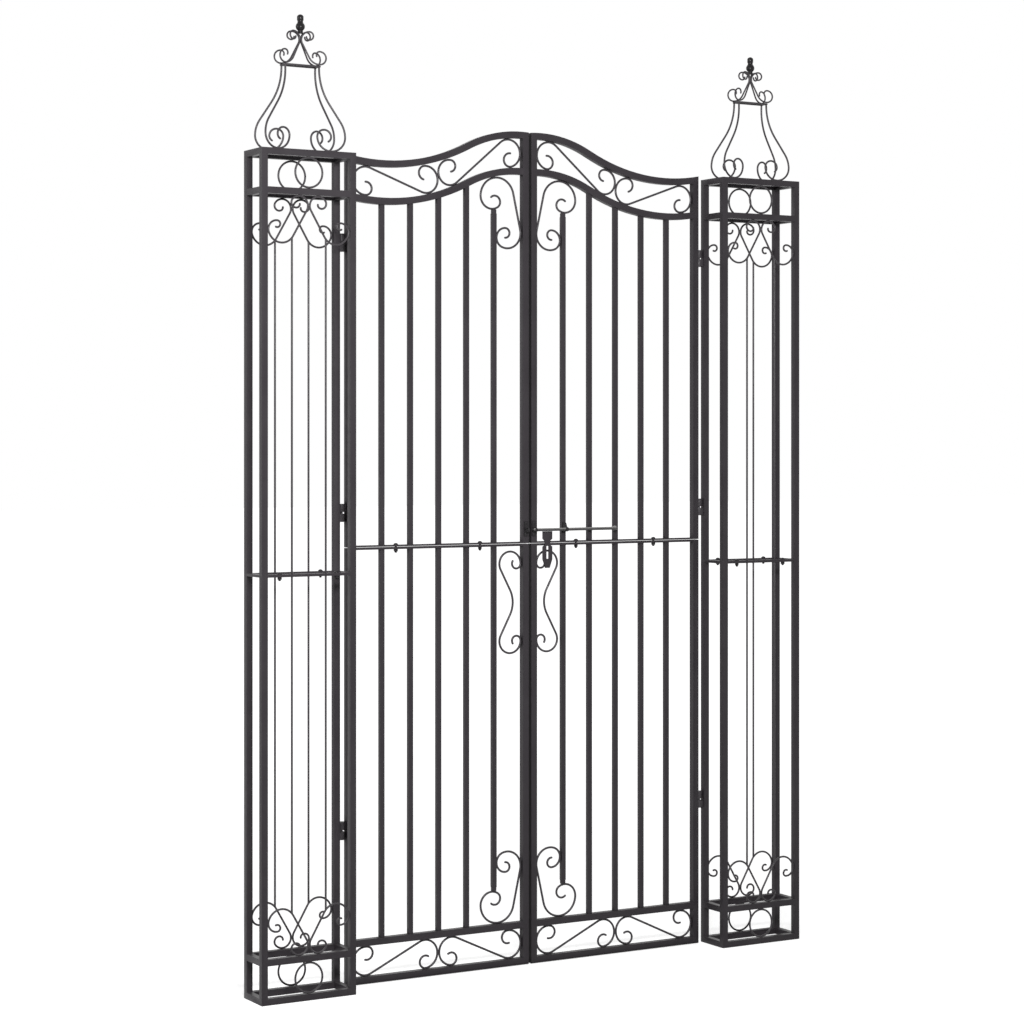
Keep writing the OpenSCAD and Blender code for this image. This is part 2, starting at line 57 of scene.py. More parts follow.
def addNode(tree, kind, values=None, **modes):
    node = tree.nodes.new(kind)
    for key, mode in modes.items():
        setattr(node, key, mode)
    for key, value in (values or {}).items():
        node.inputs[key].default_value = value
    return node


# camera, lamps and floor

def lookAtGate():
    view = {
        "place": (-2.0687, -4.1549, 1.0275),
        "turn": -30.34,  # degrees to the right of straight on
        "lens": 87.38,
        "sensor": 36,
        "shiftY": -0.0709,
    }
    cam = bpy.data.cameras.new("gateCamera")
    cam.lens = view["lens"]
    cam.sensor_width = view["sensor"]
    cam.shift_y = view["shiftY"]
    camera = bpy.data.objects.new("gateCamera", cam)
    camera.location = view["place"]
    camera.rotation_euler = (math.radians(90), 0, math.radians(view["turn"]))
    scene.collection.objects.link(camera)
    scene.camera = camera


def addLamp(name, place, aim, size, watts):
    lamp = bpy.data.lights.new(name, "AREA")
    lamp.shape = "RECTANGLE"
    lamp.size, lamp.size_y = size
    lamp.energy = watts
    holder = bpy.data.objects.new(name, lamp)
    holder.location = place
    holder.rotation_euler = (Vector(aim) - Vector(place)).to_track_quat("-Z", "Y").to_euler()
    scene.collection.objects.link(holder)


def seenRays(tree):
    # one for the rays that see the backdrop: from the camera, off gloss and through glass
    path = addNode(tree, "ShaderNodeLightPath")
    value = path.outputs["Is Camera Ray"]
    for ray in ("Is Glossy Ray", "Is Transmission Ray"):
        either = addNode(tree, "ShaderNodeMath", operation="MAXIMUM")
        tree.links.new(value, either.inputs[0])
        tree.links.new(path.outputs[ray], either.inputs[1])
        value = either.outputs[0]
    return value


def lightStudio():
    # name, place, what it points at, width and height, watts
    lamps = (
        ("keyLamp", (-0.55, -2.05, 1.68), (0.3, 0, 1.1), (0.7, 0.3), 49),
        ("leftLamp", (-2.7, 0.2, 1.7), (0, 0, 0.9), (0.8, 1.6), 20),
        ("rightLamp", (3.4, -1.4, 1.8), (0.8, 0, 0.8), (1.2, 1.6), 1),
        ("backLamp", (0.6, 3.2, 2.4), (0.4, 0, 0.9), (2.4, 1.6), 10),
    )
    skyStrength = 0.17  # what the room itself adds all round
    white = (1, 1, 1, 1)
    for lamp in lamps:
        addLamp(*lamp)
    world = bpy.data.worlds.new("paleStudio")
    scene.world = world
    world.use_nodes = True
    tree = world.node_tree
    tree.nodes.clear()
    out = addNode(tree, "ShaderNodeOutputWorld")
    sky = addNode(tree, "ShaderNodeBackground", {"Color": white, "Strength": skyStrength})
    seen = addNode(tree, "ShaderNodeBackground", {"Color": white, "Strength": 1.0})
    mix = addNode(tree, "ShaderNodeMixShader")
    tree.links.new(seenRays(tree), mix.inputs[0])
    tree.links.new(sky.outputs[0], mix.inputs[1])
    tree.links.new(seen.outputs[0], mix.inputs[2])
    tree.links.new(mix.outputs[0], out.inputs["Surface"])


def grey(level):
    return (level, level, level, 1)


def layFloor():
    floorTone = {
        "seen": 0.9,
        "glow": 0.68,  # keeps it white near the gate, where the lamps reach
        "farGlow": 0.98,  # and further off
        "near": 1.0,
        "far": 4.0,
        "dim": 0.07,  # where it only lights the iron from below
        "reach": 30,
        "drop": 0.0005,  # below the feet
    }
    floorLook = bpy.data.materials.new("paleFloor")
    floorLook.use_nodes = True
    tree = floorLook.node_tree
    tree.nodes.clear()
    out = addNode(tree, "ShaderNodeOutputMaterial")
    dim = addNode(tree, "ShaderNodeBsdfDiffuse", {"Color": grey(floorTone["dim"])})
    pale = addNode(tree, "ShaderNodeBsdfDiffuse", {"Color": grey(floorTone["seen"])})
    glow = addNode(tree, "ShaderNodeEmission")
    place = addNode(tree, "ShaderNodeTexCoord")
    away = addNode(tree, "ShaderNodeVectorMath", operation="LENGTH")
    tree.links.new(place.outputs["Object"], away.inputs[0])
    fade = addNode(tree, "ShaderNodeMapRange", {
        "From Min": floorTone["near"],
        "From Max": floorTone["far"],
        "To Min": floorTone["glow"],
        "To Max": floorTone["farGlow"],
    })
    tree.links.new(away.outputs["Value"], fade.inputs["Value"])
    tree.links.new(fade.outputs["Result"], glow.inputs["Strength"])
    add = addNode(tree, "ShaderNodeAddShader")
    mix = addNode(tree, "ShaderNodeMixShader")
    tree.links.new(pale.outputs[0], add.inputs[0])
    tree.links.new(glow.outputs[0], add.inputs[1])
    tree.links.new(seenRays(tree), mix.inputs[0])
    tree.links.new(dim.outputs[0], mix.inputs[1])
    tree.links.new(add.outputs[0], mix.inputs[2])
    tree.links.new(mix.outputs[0], out.inputs["Surface"])
    sheet = bpy.data.meshes.new("studioFloor")
    r, z = floorTone["reach"], -floorTone["drop"]
    sheet.from_pydata([(-r, -r, z), (r, -r, z), (r, r, z), (-r, r, z)], [], [(0, 1, 2, 3)])
    sheet.materials.append(floorLook)
    floor = bpy.data.objects.new("studioFloor", sheet)
    scene.collection.objects.link(floor)


lookAtGate()
lightStudio()
layFloor()
print("camera, lamps and floor are set")


# finishes

def shadeCrevices(tree, colour, rough, reach):
    # painted shade: the coat is darkened, and made rougher, in gaps narrower than the reach, such
    # as between the two leaves and where rods meet tubes
    creviceShade = addNode(tree, "ShaderNodeAmbientOcclusion", {"Distance": reach}, samples=8)
    tree.links.new(colour, creviceShade.inputs["Color"])
    dull = addNode(tree, "ShaderNodeMix", {"A": 1.0})
    tree.links.new(creviceShade.outputs["AO"], dull.inputs["Factor"])
    tree.links.new(rough, dull.inputs["B"])
    return creviceShade.outputs["Color"], dull.outputs["Result"]


def powderCoat(name, dark, light, rough, grain, shine=0.2, dustAndHighlight=(0.09, 0.25, 0.6), crevice=0.0):
    # satin powder coat: cloudy tone, fine orange peel, a little dust where it faces up (on the
    # slide bolt a painted highlight there instead), and painted shade in narrow gaps when a crevice
    # reach is given
    coat = {
        "clouds": {"Scale": 14, "Detail": 5, "Roughness": 0.6},
        "darkFrom": 0.35,
        "lightFrom": 0.7,
        "patches": {"Scale": 55, "Detail": 3},
        "patchSpread": 0.07,  # how far the roughness wanders
        "peel": {"Scale": grain, "Detail": 2},
        "peelBump": {"Strength": 0.25, "Distance": 0.00012},
    }
    look = bpy.data.materials.new(name)
    look.use_nodes = True
    tree = look.node_tree
    shader = tree.nodes["Principled BSDF"]
    shader.inputs["Specular IOR Level"].default_value = shine
    place = addNode(tree, "ShaderNodeTexCoord")
    clouds = addNode(tree, "ShaderNodeTexNoise", coat["clouds"])
    patches = addNode(tree, "ShaderNodeTexNoise", coat["patches"])
    peel = addNode(tree, "ShaderNodeTexNoise", coat["peel"])
    for noise in (clouds, patches, peel):
        tree.links.new(place.outputs["Object"], noise.inputs["Vector"])
    tone = addNode(tree, "ShaderNodeValToRGB")
    tone.color_ramp.elements[0].position = coat["darkFrom"]
    tone.color_ramp.elements[0].color = (*dark, 1)
    tone.color_ramp.elements[1].position = coat["lightFrom"]
    tone.color_ramp.elements[1].color = (*light, 1)
    tree.links.new(clouds.outputs["Fac"], tone.inputs["Fac"])
    # dust, or on the slide bolt a painted highlight: its tone, the most of it, and how far up a
    # face has to look to catch it
    dustAndHighlightTone, dustAndHighlightMost, dustAndHighlightFrom = dustAndHighlight
    facing = addNode(tree, "ShaderNodeNewGeometry")
    split = addNode(tree, "ShaderNodeSeparateXYZ")
    tree.links.new(facing.outputs["Normal"], split.inputs[0])
    dustAndHighlightRange = {"From Min": dustAndHighlightFrom, "From Max": 1.0, "To Max": dustAndHighlightMost}
    dustAndHighlightLevel = addNode(tree, "ShaderNodeMapRange", dustAndHighlightRange)
    tree.links.new(split.outputs["Z"], dustAndHighlightLevel.inputs["Value"])
    dustedAndHighlit = addNode(tree, "ShaderNodeMix", data_type="RGBA")
    dustedAndHighlit.inputs["B"].default_value = (dustAndHighlightTone, dustAndHighlightTone * 0.98, dustAndHighlightTone * 0.96, 1)
    tree.links.new(dustAndHighlightLevel.outputs["Result"], dustedAndHighlit.inputs["Factor"])
    tree.links.new(tone.outputs["Color"], dustedAndHighlit.inputs["A"])
    sheen = addNode(tree, "ShaderNodeMapRange")
    sheen.inputs["To Min"].default_value = rough - coat["patchSpread"]
    sheen.inputs["To Max"].default_value = rough + coat["patchSpread"]
    tree.links.new(patches.outputs["Fac"], sheen.inputs["Value"])
    colour, matt = dustedAndHighlit.outputs["Result"], sheen.outputs["Result"]
    # painted shade in narrow gaps, for a finish given a crevice reach
    if crevice:
        colour, matt = shadeCrevices(tree, colour, matt, crevice)
    tree.links.new(colour, shader.inputs["Base Color"])
    tree.links.new(matt, shader.inputs["Roughness"])
    bump = addNode(tree, "ShaderNodeBump", coat["peelBump"])
    tree.links.new(peel.outputs["Fac"], bump.inputs["Height"])
    tree.links.new(bump.outputs["Normal"], shader.inputs["Normal"])
    return look


tubeGreys = (0.036, 0.031, 0.036), (0.047, 0.0415, 0.047)
# painted highlight: the rods' coat is a little lighter than the tubes', standing in for the light
# along round rods; their higher gloss is real
rodLitGreys = (0.043, 0.038, 0.043), (0.057, 0.051, 0.057)
finialGreys = (0.009, 0.008, 0.009), (0.0135, 0.012, 0.0135)
fittingGreys = (0.016, 0.0145, 0.016), (0.026, 0.024, 0.026)
boltGreys = (0.02, 0.0185, 0.02), (0.034, 0.032, 0.034)
# painted light: the hinges get the tubes' coat painted lighter, standing in for light in their
# shade between post and leaf
hingeLitGreys = (0.058, 0.052, 0.058), (0.078, 0.071, 0.078)
weldGreys = (0.026, 0.024, 0.026), (0.043, 0.039, 0.043)
boltTopHighlight = (0.42, 0.95, 0.12)  # painted highlight: the slide bolt's top is painted light grey, standing in for light falling along it

finishes = {
    "frame_tube": powderCoat("tubePowderCoat", *tubeGreys, rough=0.42, grain=1100),
    # the leaf tubes carry painted shade in their narrow gaps
    "leaf_tube": powderCoat("leafPowderCoat", *tubeGreys, rough=0.42, grain=1100, crevice=0.014),
    "scroll_rod": powderCoat("rodPowderCoat", *rodLitGreys, rough=0.36, grain=1300, shine=0.35),
    "turned_iron": powderCoat("finialPowderCoat", *finialGreys, rough=0.28, grain=1200),
    "fittings": powderCoat("fittingPowderCoat", *fittingGreys, rough=0.36, grain=1400),
    "bolt_steel": powderCoat("boltBlack", *boltGreys, rough=0.24, grain=900, shine=0.6, dustAndHighlight=boltTopHighlight),
    "hinge": powderCoat("hingePowderCoat", *hingeLitGreys, rough=0.4, grain=1400, shine=0.3),
    "weld": powderCoat("weldPowderCoat", *weldGreys, rough=0.5, grain=700),
}
print("finishes are mixed")


# joining new pieces to the frame, and steps that several pieces share

def asPiece(name, mesh, look, body, stands=()):
    piece = bpy.data.objects.new(name, mesh)
    scene.collection.objects.link(piece)
    mesh.materials.clear()
    mesh.materials.append(finishes[look])
    if stands:
        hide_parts(*stands)
    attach(piece, body)
    return piece


def settled(holder):
    # a plain mesh from an object whose modifiers are done
    done = holder.evaluated_get(bpy.context.evaluated_depsgraph_get())
    made = bpy.data.meshes.new_from_object(done)
    made.name = holder.name
    bpy.data.objects.remove(holder)
    return made


def smoothed(mesh, sharpFrom=38):
    # smooth shading that breaks at edges sharper than this many degrees
    mesh.shade_smooth()
    mesh.set_sharp_from_angle(angle=math.radians(sharpFrom))
    return mesh


def merged(name, meshes):
    work = bmesh.new()
    for mesh in meshes:
        work.from_mesh(mesh)
    whole = bpy.data.meshes.new(name)
    work.to_mesh(whole)
    work.free()
    return whole


def turned(name, profile, centre=(0, 0), around=40):
    # a lathe shape from (radius, height) pairs in millimetres
    verts, faces = [], []
    for r, z in profile:
        for k in range(around):
            a = 2 * math.pi * k / around
            x, y = centre[0] + r * math.cos(a), centre[1] + r * math.sin(a)
            verts.append((x * mm, y * mm, z * mm))
    rows = len(profile)
    for i in range(rows - 1):
        low, high = i * around, (i + 1) * around
        for k in range(around):
            n = (k + 1) % around
            faces.append((low + k, low + n, high + n, high + k))
    faces.append(tuple(range(around))[::-1])
    faces.append(tuple((rows - 1) * around + k for k in range(around)))
    mesh = bpy.data.meshes.new(name)
    mesh.from_pydata(verts, [], faces)
    return smoothed(mesh)


# square tube, flats and hinges: the solids with their edges rounded

edgeEase = {"tube": 0.0011, "plate": 0.0006, "hinge": 0.0008}


def roundedCopy(node, edge):
    # the solid's loose triangles joined up, flats made whole, then every edge rounded
    flatWithin, roundFrom = math.radians(0.6), math.radians(40)
    holder = bpy.data.objects.new(node + "Rounded", nodes[node].data.copy())
    scene.collection.objects.link(holder)
    work = bmesh.new()
    work.from_mesh(holder.data)
    bmesh.ops.remove_doubles(work, verts=work.verts, dist=0.00001)
    bmesh.ops.dissolve_limit(work, angle_limit=flatWithin, verts=work.verts, edges=work.edges)
    work.to_mesh(holder.data)
    work.free()
    bevel = holder.modifiers.new("tubeEdge", "BEVEL")
    bevel.width = edge
    bevel.segments = 3
    bevel.limit_method = "ANGLE"
    bevel.angle_limit = roundFrom
    bevel.use_clamp_overlap = True
    return smoothed(settled(holder), sharpFrom=24)


def roundFrames():
    for side in sides:
        for thing, part, look in (("post", "frame", "frame_tube"), ("leaf", "panel", "leaf_tube")):
            body = "posts" if thing == "post" else f"{side}_leaf"
            for level in ("upper", "lower"):
                node = f"{side}_{thing}_{level}_{part}"
                name = side + thing.title() + level.title() + part.title()
                mesh = roundedCopy(node, edgeEase["tube"])
                asPiece(name, mesh, look, body, (node,))
    plate = roundedCopy("hasp_plate", edgeEase["plate"])
    asPiece("haspPlate", plate, "frame_tube", "right_leaf", ("hasp_plate",))


roundFrames()
print("tube frames are rounded")


# bent rod: every scroll is drawn as a path of arcs and straights, then swept by one node tree

def unit(a):
    return Vector((math.cos(math.radians(a)), math.sin(math.radians(a))))


def headingOf(c1, r1, s1, c2, r2, s2):
    # of the straight that touches two rings; s is the side, 1 or -1, that it bends to round each
    way = Vector(c2) - Vector(c1)
    middles = math.degrees(math.atan2(way.y, way.x))
    return middles - math.degrees(math.asin((s2 * r2 - s1 * r1) / way.length))


def arcPoints(c, r, a, w):
    # from the angle a through w degrees, in steps of 5 degrees or 6 mm at most
    steps = max(3, int(abs(w) / 5) + 1, int(abs(math.radians(w)) * r / 6))
    return [Vector(c) + r * unit(a + w * k / steps) for k in range(steps + 1)]


def curlPoints(c, a, s, arcs):
    # arcs of (radius, sweep) that run into one another, the first round c
    c = Vector(c)
    points = []
    for k, (r, sweep) in enumerate(arcs):
        points += arcPoints(c, r, a, s * sweep)[(1 if k else 0):]
        a += s * sweep
        if k + 1 < len(arcs):
            c = c + (r - arcs[k + 1][0]) * unit(a)
    return points


def scrollPoints(c1, s1, arcs1, c2, s2, arcs2):
    # a curl at each end and the straight that touches both
    t = headingOf(c1, arcs1[0][0], s1, c2, arcs2[0][0], s2)
    first = curlPoints(c1, t + 180 + 90 * s1, -s1, arcs1)
    second = curlPoints(c2, t - 90 * s2, s2, arcs2)
    return first[::-1] + second


def dropRepeats(points):
    kept = [points[0]]
    for p in points[1:]:
        if (p - kept[-1]).length > 0.02:
            kept.append(p)
    return kept


def addSocket(tree, name, kind, value=None, way="INPUT"):
    socket = tree.interface.new_socket(name=name, in_out=way, socket_type="NodeSocket" + kind)
    if value is not None:
        socket.default_value = value


def rodSweepTree():
    tree = bpy.data.node_groups.new("rodSweep", "GeometryNodeTree")
    addSocket(tree, "Path", "Geometry")
    addSocket(tree, "Sides", "Int", 12)
    addSocket(tree, "Thickness", "Float", 0.004)
    addSocket(tree, "Finish", "Material")
    addSocket(tree, "Rods", "Geometry", way="OUTPUT")
    start = addNode(tree, "NodeGroupInput")
    end = addNode(tree, "NodeGroupOutput")
    toCurve = addNode(tree, "GeometryNodeMeshToCurve")
    taper = addNode(tree, "GeometryNodeInputNamedAttribute", {"Name": "taper"}, data_type="FLOAT")
    half = addNode(tree, "ShaderNodeMath", operation="MULTIPLY")
    half.inputs[1].default_value = 0.5
    width = addNode(tree, "ShaderNodeMath", operation="MULTIPLY")
    ring = addNode(tree, "GeometryNodeCurvePrimitiveCircle", {"Radius": 1.0})
    sweep = addNode(tree, "GeometryNodeCurveToMesh", {"Fill Caps": True})
    smooth = addNode(tree, "GeometryNodeSetShadeSmooth")
    real = addNode(tree, "GeometryNodeRealizeInstances")
    finish = addNode(tree, "GeometryNodeSetMaterial")
    link = tree.links.new
    link(start.outputs["Path"], toCurve.inputs["Mesh"])
    link(start.outputs["Thickness"], half.inputs[0])
    link(half.outputs[0], width.inputs[0])
    link(taper.outputs["Attribute"], width.inputs[1])
    link(width.outputs[0], sweep.inputs["Scale"])
    link(start.outputs["Sides"], ring.inputs["Resolution"])
    link(toCurve.outputs["Curve"], sweep.inputs["Curve"])
    link(ring.outputs["Curve"], sweep.inputs["Profile Curve"])
    link(sweep.outputs["Mesh"], smooth.inputs["Geometry"])
    link(smooth.outputs["Geometry"], real.inputs["Geometry"])
    link(real.outputs["Geometry"], finish.inputs["Geometry"])
    link(start.outputs["Finish"], finish.inputs["Material"])
    link(finish.outputs["Geometry"], end.inputs["Rods"])
    return tree


rodSweep = rodSweepTree()
rodFinish = {
    "paint": 0.24,  # what the coat adds to a rod's thickness
    "endRings": (0.45, 0.8, 1.0),  # rings of a rounded end, as shares of the rod's radius
    "endLeast": 0.02,
    "facets": 12,
}


def socketOf(tree, name):
    inputs = [item for item in tree.interface.items_tree if item.in_out == "INPUT"]
    return next(item.identifier for item in inputs if item.name == name)


def roundEnd(tip, inner, thickness):
    # rings beyond the tip, each with its share of the full thickness
    out = (tip - inner).normalized()
    least = rodFinish["endLeast"]
    rings = []
    for q in rodFinish["endRings"]:
        share = math.sqrt(max(0.0, 1 - q * q)) * (1 - least) + least
        rings.append((tip + out * thickness * 0.5 * q, share))
    return rings


def sweptRods(name, paths, thickness):
    # paths are lists of 3D points in millimetres; both ends are drawn round
    thickness += rodFinish["paint"]
    verts, edges, tapers = [], [], []
    for path in paths:
        first = roundEnd(path[0], path[1], thickness)
        last = roundEnd(path[-1], path[-2], thickness)
        line = first[::-1] + [(p, 1.0) for p in path] + last
        base = len(verts)
        verts += [p * mm for p, share in line]
        tapers += [share for p, share in line]
        edges += [(base + k, base + k + 1) for k in range(len(line) - 1)]
    mesh = bpy.data.meshes.new(name)
    mesh.from_pydata(verts, edges, [])
    layer = mesh.attributes.new("taper", "FLOAT", "POINT")
    layer.data.foreach_set("value", tapers)
    holder = bpy.data.objects.new(name, mesh)
    scene.collection.objects.link(holder)
    sweep = holder.modifiers.new("rodSweep", "NODES")
    sweep.node_group = rodSweep
    sweep[socketOf(rodSweep, "Sides")] = rodFinish["facets"]
    sweep[socketOf(rodSweep, "Thickness")] = thickness * mm
    sweep[socketOf(rodSweep, "Finish")] = finishes["scroll_rod"]
    return settled(holder)


def rodPiece(name, paths, thickness, side, body, node):
    mesh = sweptRods(name, inRow(paths, side), thickness)
    asPiece(mesh.name, mesh, "scroll_rod", body, (f"{side}_{node}",))


def closedLoop(c, r, y):
    # runs on one step past its start, so the ends lie in each other
    steps = 72
    turns = [2 * math.pi * k / steps for k in range(steps + 2)]
    return [Vector((c[0] + r * math.cos(a), y, c[1] + r * math.sin(a))) for a in turns]


def flat3(points, y):
    return [Vector((p[0], y, p[1])) for p in points]


def mirrored(paths, x=None, y=None, z=None):
    # across each plane that is given
    def across(p):
        return Vector([p[k] if at is None else 2 * at - p[k] for k, at in enumerate((x, y, z))])

    return [[across(p) for p in path] for path in paths]


def inRow(paths, side):
    # from the gate's middle to the row frame, turned over for the right side
    sign = 1 if side == "left" else -1
    middle = gate["middleX"]
    placed = [[Vector((middle + sign * p.x, p.y, p.z)) for p in path] for path in paths]
    return [dropRepeats(path) for path in placed]


def postScrollwork():
    work = {
        "rod": 3.6,
        "faceIn": 3,  # from the post's face back to the rods' middle
        "circle": 27.6,
        "circleEase": 0.2,
        "circleZ": 1516.5,
        "ringDrop": 83,  # from the post's top to the underside of its second ring
        "knot": ((17.5, 173), (9.4, 150), (6.5, 70)),  # radius and sweep of each arc
        "side": ((26.7, 134), (16.4, 112), (6.2, 200)),
        "sideDrop": 145.3,
        "rodReach": 20.6,  # from the side curl's middle to the long rod
        "flat": 2.6,
    }
    seat = rodGap + work["rod"] / 2
    knotR, sideR = work["knot"][0][0], work["side"][0][0]
    sideX = postX - gate["postWide"] / 2 + gate["postTube"] + seat + sideR
    sideZ = gate["postTall"] - work["sideDrop"]
    knotC = (postX - seat - knotR, gate["postTall"] - work["ringDrop"] - seat - knotR)
    middle = gate["postTall"] / 2
    half = flat3(scrollPoints(knotC, -1, work["knot"], (sideX, sideZ), -1, work["side"]), 0)
    rodX = sideX + work["rodReach"]
    rodTop = sideZ - math.sqrt(sideR ** 2 - work["rodReach"] ** 2)
    face = [half, [Vector((rodX, 0, middle + work["flat"])), Vector((rodX, 0, rodTop))]]
    face += mirrored(face, x=postX)
    face.append(closedLoop((postX, work["circleZ"]), work["circle"] - work["circleEase"], 0))
    faceY = gate["postDeep"] / 2 - work["faceIn"]
    upper = [[p + Vector((0, y, 0)) for p in path] for y in (-faceY, faceY) for path in face]
    lower = mirrored(upper, z=middle)
    for side in sides:
        for level, paths in (("upper", upper), ("lower", lower)):
            name = f"{side}Post{level.title()}Scrollwork"
            rodPiece(name, paths, work["rod"], side, "posts", f"post_{level}_scrollwork")


postScrollwork()
print("post scrollwork is bent")


# spire: four S-rods, a collar, four crown rods and a turned finial

spire = {
    "rod": 3.6,
    "footR": 26.7,
    "footIn": 13.2,
    "footTail": 9.8,
    "footTailTurn": 62,
    "bulgeX": 80.8,  # where the rods stand widest, from the post's middle
    "bulgeY": 22.9,
    "bellyR": 51.0,
    "flareR": 118.0,
    "neck": 6.0,
    "turn": 10.15,  # degrees that each rod's plane is turned and leant in
    "lean": 2.8,
    "collarX": 34.4,
    "collarZ": 1716.8,
    "collarLap": 1.6,
}


def spirePaths():
    s = spire
    footZ = gate["postTall"] + rodGap + s["rod"] / 2 + s["footR"]
    turn, lean = math.radians(s["turn"]), math.radians(s["lean"])
    collarH = (s["collarZ"] - footZ) / math.cos(lean)
    leanIn = collarH * math.sin(lean)
    reach = (s["bulgeX"] - s["collarX"] + leanIn * math.sin(turn)) / math.cos(turn)
    collarY = s["bulgeY"] - reach * math.sin(turn) - leanIn * math.cos(turn)
    belly, flare = (s["bellyR"], 0.0), (reach - s["flareR"], collarH - s["neck"])
    t = headingOf(belly, s["bellyR"], -1, flare, s["flareR"], 1)
    footArcs = [(s["footR"], 180), (s["footIn"], 180), (s["footTail"], s["footTailTurn"])]
    foot = curlPoints((s["footR"], 0), 180, 1, footArcs)
    up = arcPoints(belly, s["bellyR"], 180, -(90 - t))
    up += arcPoints(flare, s["flareR"], t - 90, 90 - t) + [Vector((reach, collarH))]
    rod = flat3(foot[::-1] + up, 0)
    place = Matrix.Translation((postX - s["bulgeX"], -s["bulgeY"], footZ))
    place = place @ Matrix.Rotation(turn, 4, "Z") @ Matrix.Rotation(-lean, 4, "X")
    one = [[place @ p for p in rod]]
    pair = one + mirrored(one, x=postX)
    cage = pair + mirrored(pair, y=0)
    x0, x1, z, lap = postX - s["collarX"], postX + s["collarX"], s["collarZ"], s["collarLap"]
    collar = [[Vector((x0 - lap, y, z)), Vector((x1 + lap, y, z))] for y in (-collarY, collarY)]
    collar += [[Vector((x, -collarY, z)), Vector((x, collarY, z))] for x in (x0, x1)]
    return cage + collar


crown = {
    "rod": 3.0,
    "seat": 0.08,
    "turn": 13.5,
    "footX": 34.5,
    "footR": 12.0,
    "footTail": 6.2,
    "footTailTurn": 115,
    "lowR": 22.0,
    "highR": 15.0,
    "curlR": 7.6,
    "tailR": 5.5,
    "rise": 207.1,  # of the top curl's middle above the post
}


def crownPaths():
    c = crown
    footZ = spire["collarZ"] + (spire["rod"] + c["seat"] + c["rod"]) / 2 + rodGap
    low, high = (c["footX"], footZ + c["lowR"]), (c["highR"], gate["postTall"] + c["rise"])
    t = headingOf(low, c["lowR"], -1, high, c["highR"], -1)
    footArcs = [(c["footR"], 180), (c["footTail"], c["footTailTurn"])]
    foot = curlPoints((c["footX"], footZ + c["footR"]), 270, 1, footArcs)
    sweepIn = arcPoints(low, c["lowR"], 270, t - 180)
    top = curlPoints(high, t + 90, -1, [(c["highR"], t), (c["curlR"], 180), (c["tailR"], 90)])
    rod = flat3(foot[::-1] + sweepIn + top, 0)
    inset = c["rod"] / 2 + rodGap
    place = Matrix.Translation((postX + inset, inset, 0))
    place = place @ Matrix.Rotation(math.radians(c["turn"]), 4, "Z")
    one = [[place @ p for p in rod]]
    pair = one + mirrored(one, x=postX)
    return pair + mirrored(pair, y=0)


def ballProfile(radius, middle, low, high, steps=14):
    points = []
    for k in range(steps + 1):
        z = low + (high - low) * (1 - math.cos(math.pi * k / steps)) / 2
        points.append((math.sqrt(max(0.04, radius * radius - (z - middle) ** 2)), z))
    return points


def finialProfile():
    # plug in the crown, bulb, neck, and a cap with a ball's top
    f = {
        "plug": 5.0,
        "bulb": 8.6,
        "bulbZ": 1789.0,
        "neck": 5.2,
        "cap": 6.1,
        "capBall": 6.7,
        "capZ": 1805.0,
    }
    plug = [(f["plug"] - 0.5, 1776.0), (f["plug"], 1776.6), (f["plug"], 1781.2)]
    bulb = ballProfile(f["bulb"], f["bulbZ"], 1782.0, 1795.6)
    neck = [(f["neck"] + 0.5, 1796.0), (f["neck"], 1796.8), (f["neck"], 1799.2)]
    cap = [(f["cap"] - 0.7, 1799.9), (f["cap"], 1800.8), (f["cap"], 1806.2)]
    domeZ = (1807.8, 1808.9, 1810.0, 1810.9, 1811.5, 1811.69)
    dome = [(math.sqrt(max(0.05, f["capBall"] ** 2 - (z - f["capZ"]) ** 2)), z) for z in domeZ]
    return plug + bulb + neck + cap + dome


def buildSpires():
    for side in sides:
        rodPiece(f"{side}SpireCage", spirePaths(), spire["rod"], side, "posts", "spire_cage")
        rodPiece(f"{side}SpireCrown", crownPaths(), crown["rod"], side, "posts", "spire_crown")
        middle = gate["middleX"] + (postX if side == "left" else -postX)
        finial = turned(f"{side}Finial", finialProfile(), (middle, 0))
        asPiece(finial.name, finial, "turned_iron", "posts", (f"{side}_finial",))


buildSpires()
print("spires and finials stand on the posts")


# leaves: scrolls between the rails and beside the meeting stile

leaf = {
    "left": -399.7,
    "right": -3.0,
    "tube": 13.0,
    "bar": 9.0,
    "pitch": 61.3,
    "lift": 1.0,  # off the ground
    "y": 33.5,
    "rod": 4.0,
    "drop": 71.0,  # from the upper wavy rail to the lower one
    "ringPitch": 71.0,
    "halfZ": 812.0,  # the lower half is the upper half turned over about this height
}
leaf["middle"] = (leaf["left"] + leaf["right"]) / 2
leaf["inL"] = leaf["left"] + leaf["tube"]
leaf["inR"] = leaf["right"] - leaf["tube"]
leaf["shortX"] = leaf["middle"] + 2 * leaf["pitch"]
leaf["seat"] = leaf["rod"] / 2 + rodGap
leaf["baseR"] = (leaf["ringPitch"] - leaf["tube"] - leaf["rod"]) / 2 - rodGap
leaf["baseIn"] = leaf["seat"] + leaf["baseR"]


def wavyRail():
    # two arcs that meet on a common tangent: the dip near the post, the hump at the meeting stile
    w = {
        "dipX": leaf["left"] + 78,
        "dipZ": 1549.6,
        "dipR": 402.0,
        "humpX": leaf["right"] - 19,
        "humpZ": 1622.4,
    }
    run, rise = w["humpX"] - w["dipX"], w["humpZ"] - w["dipZ"]
    w["humpR"] = (run * run + rise * rise) / (2 * rise) - w["dipR"]
    w["turn"] = math.asin(run / (w["dipR"] + w["humpR"]))
    w["dipC"] = Vector((w["dipX"], w["dipZ"] + w["dipR"]))
    w["humpC"] = Vector((w["humpX"], w["humpZ"] - w["humpR"]))
    return w


wave = wavyRail()


